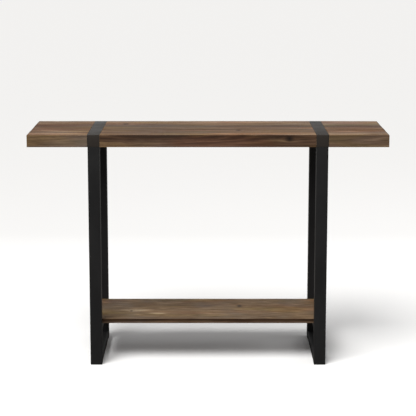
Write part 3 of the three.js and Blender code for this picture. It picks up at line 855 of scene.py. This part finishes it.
def make_frames():
    """Both frames, each with its strap, bars, welds, uprights and feet."""
    for side in LEFT_RIGHT:
        make_strap(f"{side}_strap", f"{side}_steel_strap", MATERIALS["strap"])
        for bar in ("floor_bar", "shelf_bar"):
            make_tube(f"{side}_{bar}", f"{side}_{bar}_tube", Y, MATERIALS["steel"])
        make_flat_bar(f"{side}_top_bar", f"{side}_top_flat_bar", MATERIALS["steel"])
        for bar, weld_side in (("floor_bar", 1), ("top_bar", -1), ("shelf_bar", -1)):
            make_weld(f"{side}_{bar}_welds", f"{side}_{bar}", weld_side, MATERIALS["steel"])
        for end in FRONT_BACK:
            make_tube(f"{side}_{end}_upright", f"{side}_{end}_leg", Z, MATERIALS["steel"])
            make_foot(f"{side}_{end}_foot_plug", f"{side}_{end}_foot", MATERIALS["plastic"])


def make_fasteners():
    """At each corner a bolt into the top, a screw into the shelf and a screw through the lip of the strap."""
    for side in LEFT_RIGHT:
        for end in FRONT_BACK:
            at = f"{side}_{end}"
            make_fastener(f"{at}_frame_bolt", f"{at}_bolt", BUTTON_BOLT, MATERIALS["zinc"])
            make_fastener(f"{at}_shelf_screw", f"{at}_pan_screw", PAN_SCREW, MATERIALS["zinc"])
            make_fastener(f"{at}_strap_screw", f"{at}_wafer_screw", WAFER_SCREW, MATERIALS["zinc"])


def dress_hidden_parts():
    """The parts inside the top keep their shape and get their real finish."""
    for name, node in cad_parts.items():
        if node.hide_render:
            continue
        if name.endswith("threaded_insert"):
            finish = "brass"
        elif name == "tabletop_bottom_board":
            finish = "backing"
        else:
            finish = "chipboard"
        for held in node.material_slots:
            held.material = MATERIALS[finish]


# ------------------------------------------------------------ the studio
CAMERA_PLACE = (0.0, -4.4066, 1.3975)
CAMERA_DIP = 9.411  # degrees below level
CAMERA_LENS, CAMERA_SENSOR = 115.2, 36
CAMERA_SHIFT = -0.12
KEY_FROM, KEY_STRENGTH, KEY_SPREAD = (-1.5, -2.6, 4.8), 2.35, 36
SOFTBOXES = (  # power, width, height, where it stands and what it shines at
    ("front_softbox", 15, 1.7, 0.6, (-0.55, -1.2, 1.55), (0, 0, 0.75)),
    ("right_softbox", 16, 1.4, 1.2, (3.0, 0.2, 1.1), (0, 0, 0.4)),
    ("wall_glow", 6, 3.2, 1.2, (0, 1.7, 1.15), (0, 0, 1.0)),
)
FLOOR_REACH = 60.0
FLOOR_PALE, FLOOR_BOUNCE = (0.985, 0.985, 0.985, 1), (0.25, 0.24, 0.23, 1)
SKY_LIGHT, SKY_SEEN = 0.27, 0.865


def make_camera():
    """A long lens in front of the table and above its top, looking slightly down."""
    data = bpy.data.cameras.new("camera")
    data.lens, data.sensor_width, data.shift_y = CAMERA_LENS, CAMERA_SENSOR, CAMERA_SHIFT
    camera = bpy.data.objects.new("camera", data)
    camera.location = CAMERA_PLACE
    camera.rotation_euler = (math.radians(90 - CAMERA_DIP), 0, 0)
    bpy.context.scene.collection.objects.link(camera)
    bpy.context.scene.camera = camera


def aim(light, stand, target):
    """Puts a light on its stand, shining towards a target."""
    light.location = stand
    light.rotation_euler = (Vector(target) - Vector(stand)).to_track_quat("-Z", "Y").to_euler()
    bpy.context.scene.collection.objects.link(light)


def make_softbox(name, power, width, height, stand, target):
    """A rectangular light that can't be seen itself."""
    data = bpy.data.lights.new(name, "AREA")
    data.shape, data.size, data.size_y, data.energy = "RECTANGLE", width, height, power
    light = bpy.data.objects.new(name, data)
    light.visible_camera = False
    aim(light, stand, target)


def make_lights():
    """A wide soft key from high on the front left, a softbox close in front of the top, one further off to
    the right, and one behind the table that glows as a white wall would."""
    key = bpy.data.lights.new("key", "SUN")
    key.energy, key.angle, key.color = KEY_STRENGTH, math.radians(KEY_SPREAD), (1.0, 0.99, 0.97)
    aim(bpy.data.objects.new("key", key), KEY_FROM, (0, 0, 0))
    for softbox in SOFTBOXES:
        make_softbox(*softbox)


def make_floor():
    """A wide pale floor. It can be looked through from below, and sends back as little light as timber."""
    mesh = bpy.data.meshes.new("floor")
    reach = FLOOR_REACH
    corners = [(-reach, -reach, 0), (reach, -reach, 0), (reach, reach, 0), (-reach, reach, 0)]
    mesh.from_pydata(corners, [], [(0, 1, 2, 3)])
    floor = bpy.data.objects.new("floor", mesh)
    material = bpy.data.materials.new("pale_floor")
    material.use_nodes = True
    nodes, links = material.node_tree.nodes, material.node_tree.links
    shader, seen = nodes["Principled BSDF"], nodes.new("ShaderNodeMix")
    seen.data_type = "RGBA"
    seen.inputs[6].default_value, seen.inputs[7].default_value = FLOOR_BOUNCE, FLOOR_PALE
    links.new(nodes.new("ShaderNodeLightPath").outputs["Is Camera Ray"], seen.inputs[0])
    links.new(seen.outputs[2], shader.inputs["Base Color"])
    shader.inputs["Roughness"].default_value = 1.0
    shader.inputs["Specular IOR Level"].default_value = 0.0
    clear, mixer = nodes.new("ShaderNodeBsdfTransparent"), nodes.new("ShaderNodeMixShader")
    links.new(nodes.new("ShaderNodeNewGeometry").outputs["Backfacing"], mixer.inputs[0])
    links.new(shader.outputs[0], mixer.inputs[1])
    links.new(clear.outputs[0], mixer.inputs[2])
    links.new(mixer.outputs[0], nodes["Material Output"].inputs["Surface"])
    mesh.materials.append(material)
    bpy.context.scene.collection.objects.link(floor)


def make_sky():
    """A sky as pale as the floor to look at, which lights the table more weakly than it looks."""
    world = bpy.data.worlds.new("pale_sky")
    world.use_nodes = True
    nodes, links = world.node_tree.nodes, world.node_tree.links
    background, strength = nodes["Background"], nodes.new("ShaderNodeMix")
    background.inputs["Color"].default_value = (1.0, 0.99, 0.985, 1)
    strength.inputs[2].default_value, strength.inputs[3].default_value = SKY_LIGHT, SKY_SEEN
    links.new(nodes.new("ShaderNodeLightPath").outputs["Is Camera Ray"], strength.inputs[0])
    links.new(strength.outputs[0], background.inputs["Strength"])
    bpy.context.scene.world = world


bpy.context.scene.view_settings.view_transform = "Standard"
make_camera()
make_lights()
make_floor()
make_sky()
make_wood()
make_frames()
make_fasteners()
dress_hidden_parts()
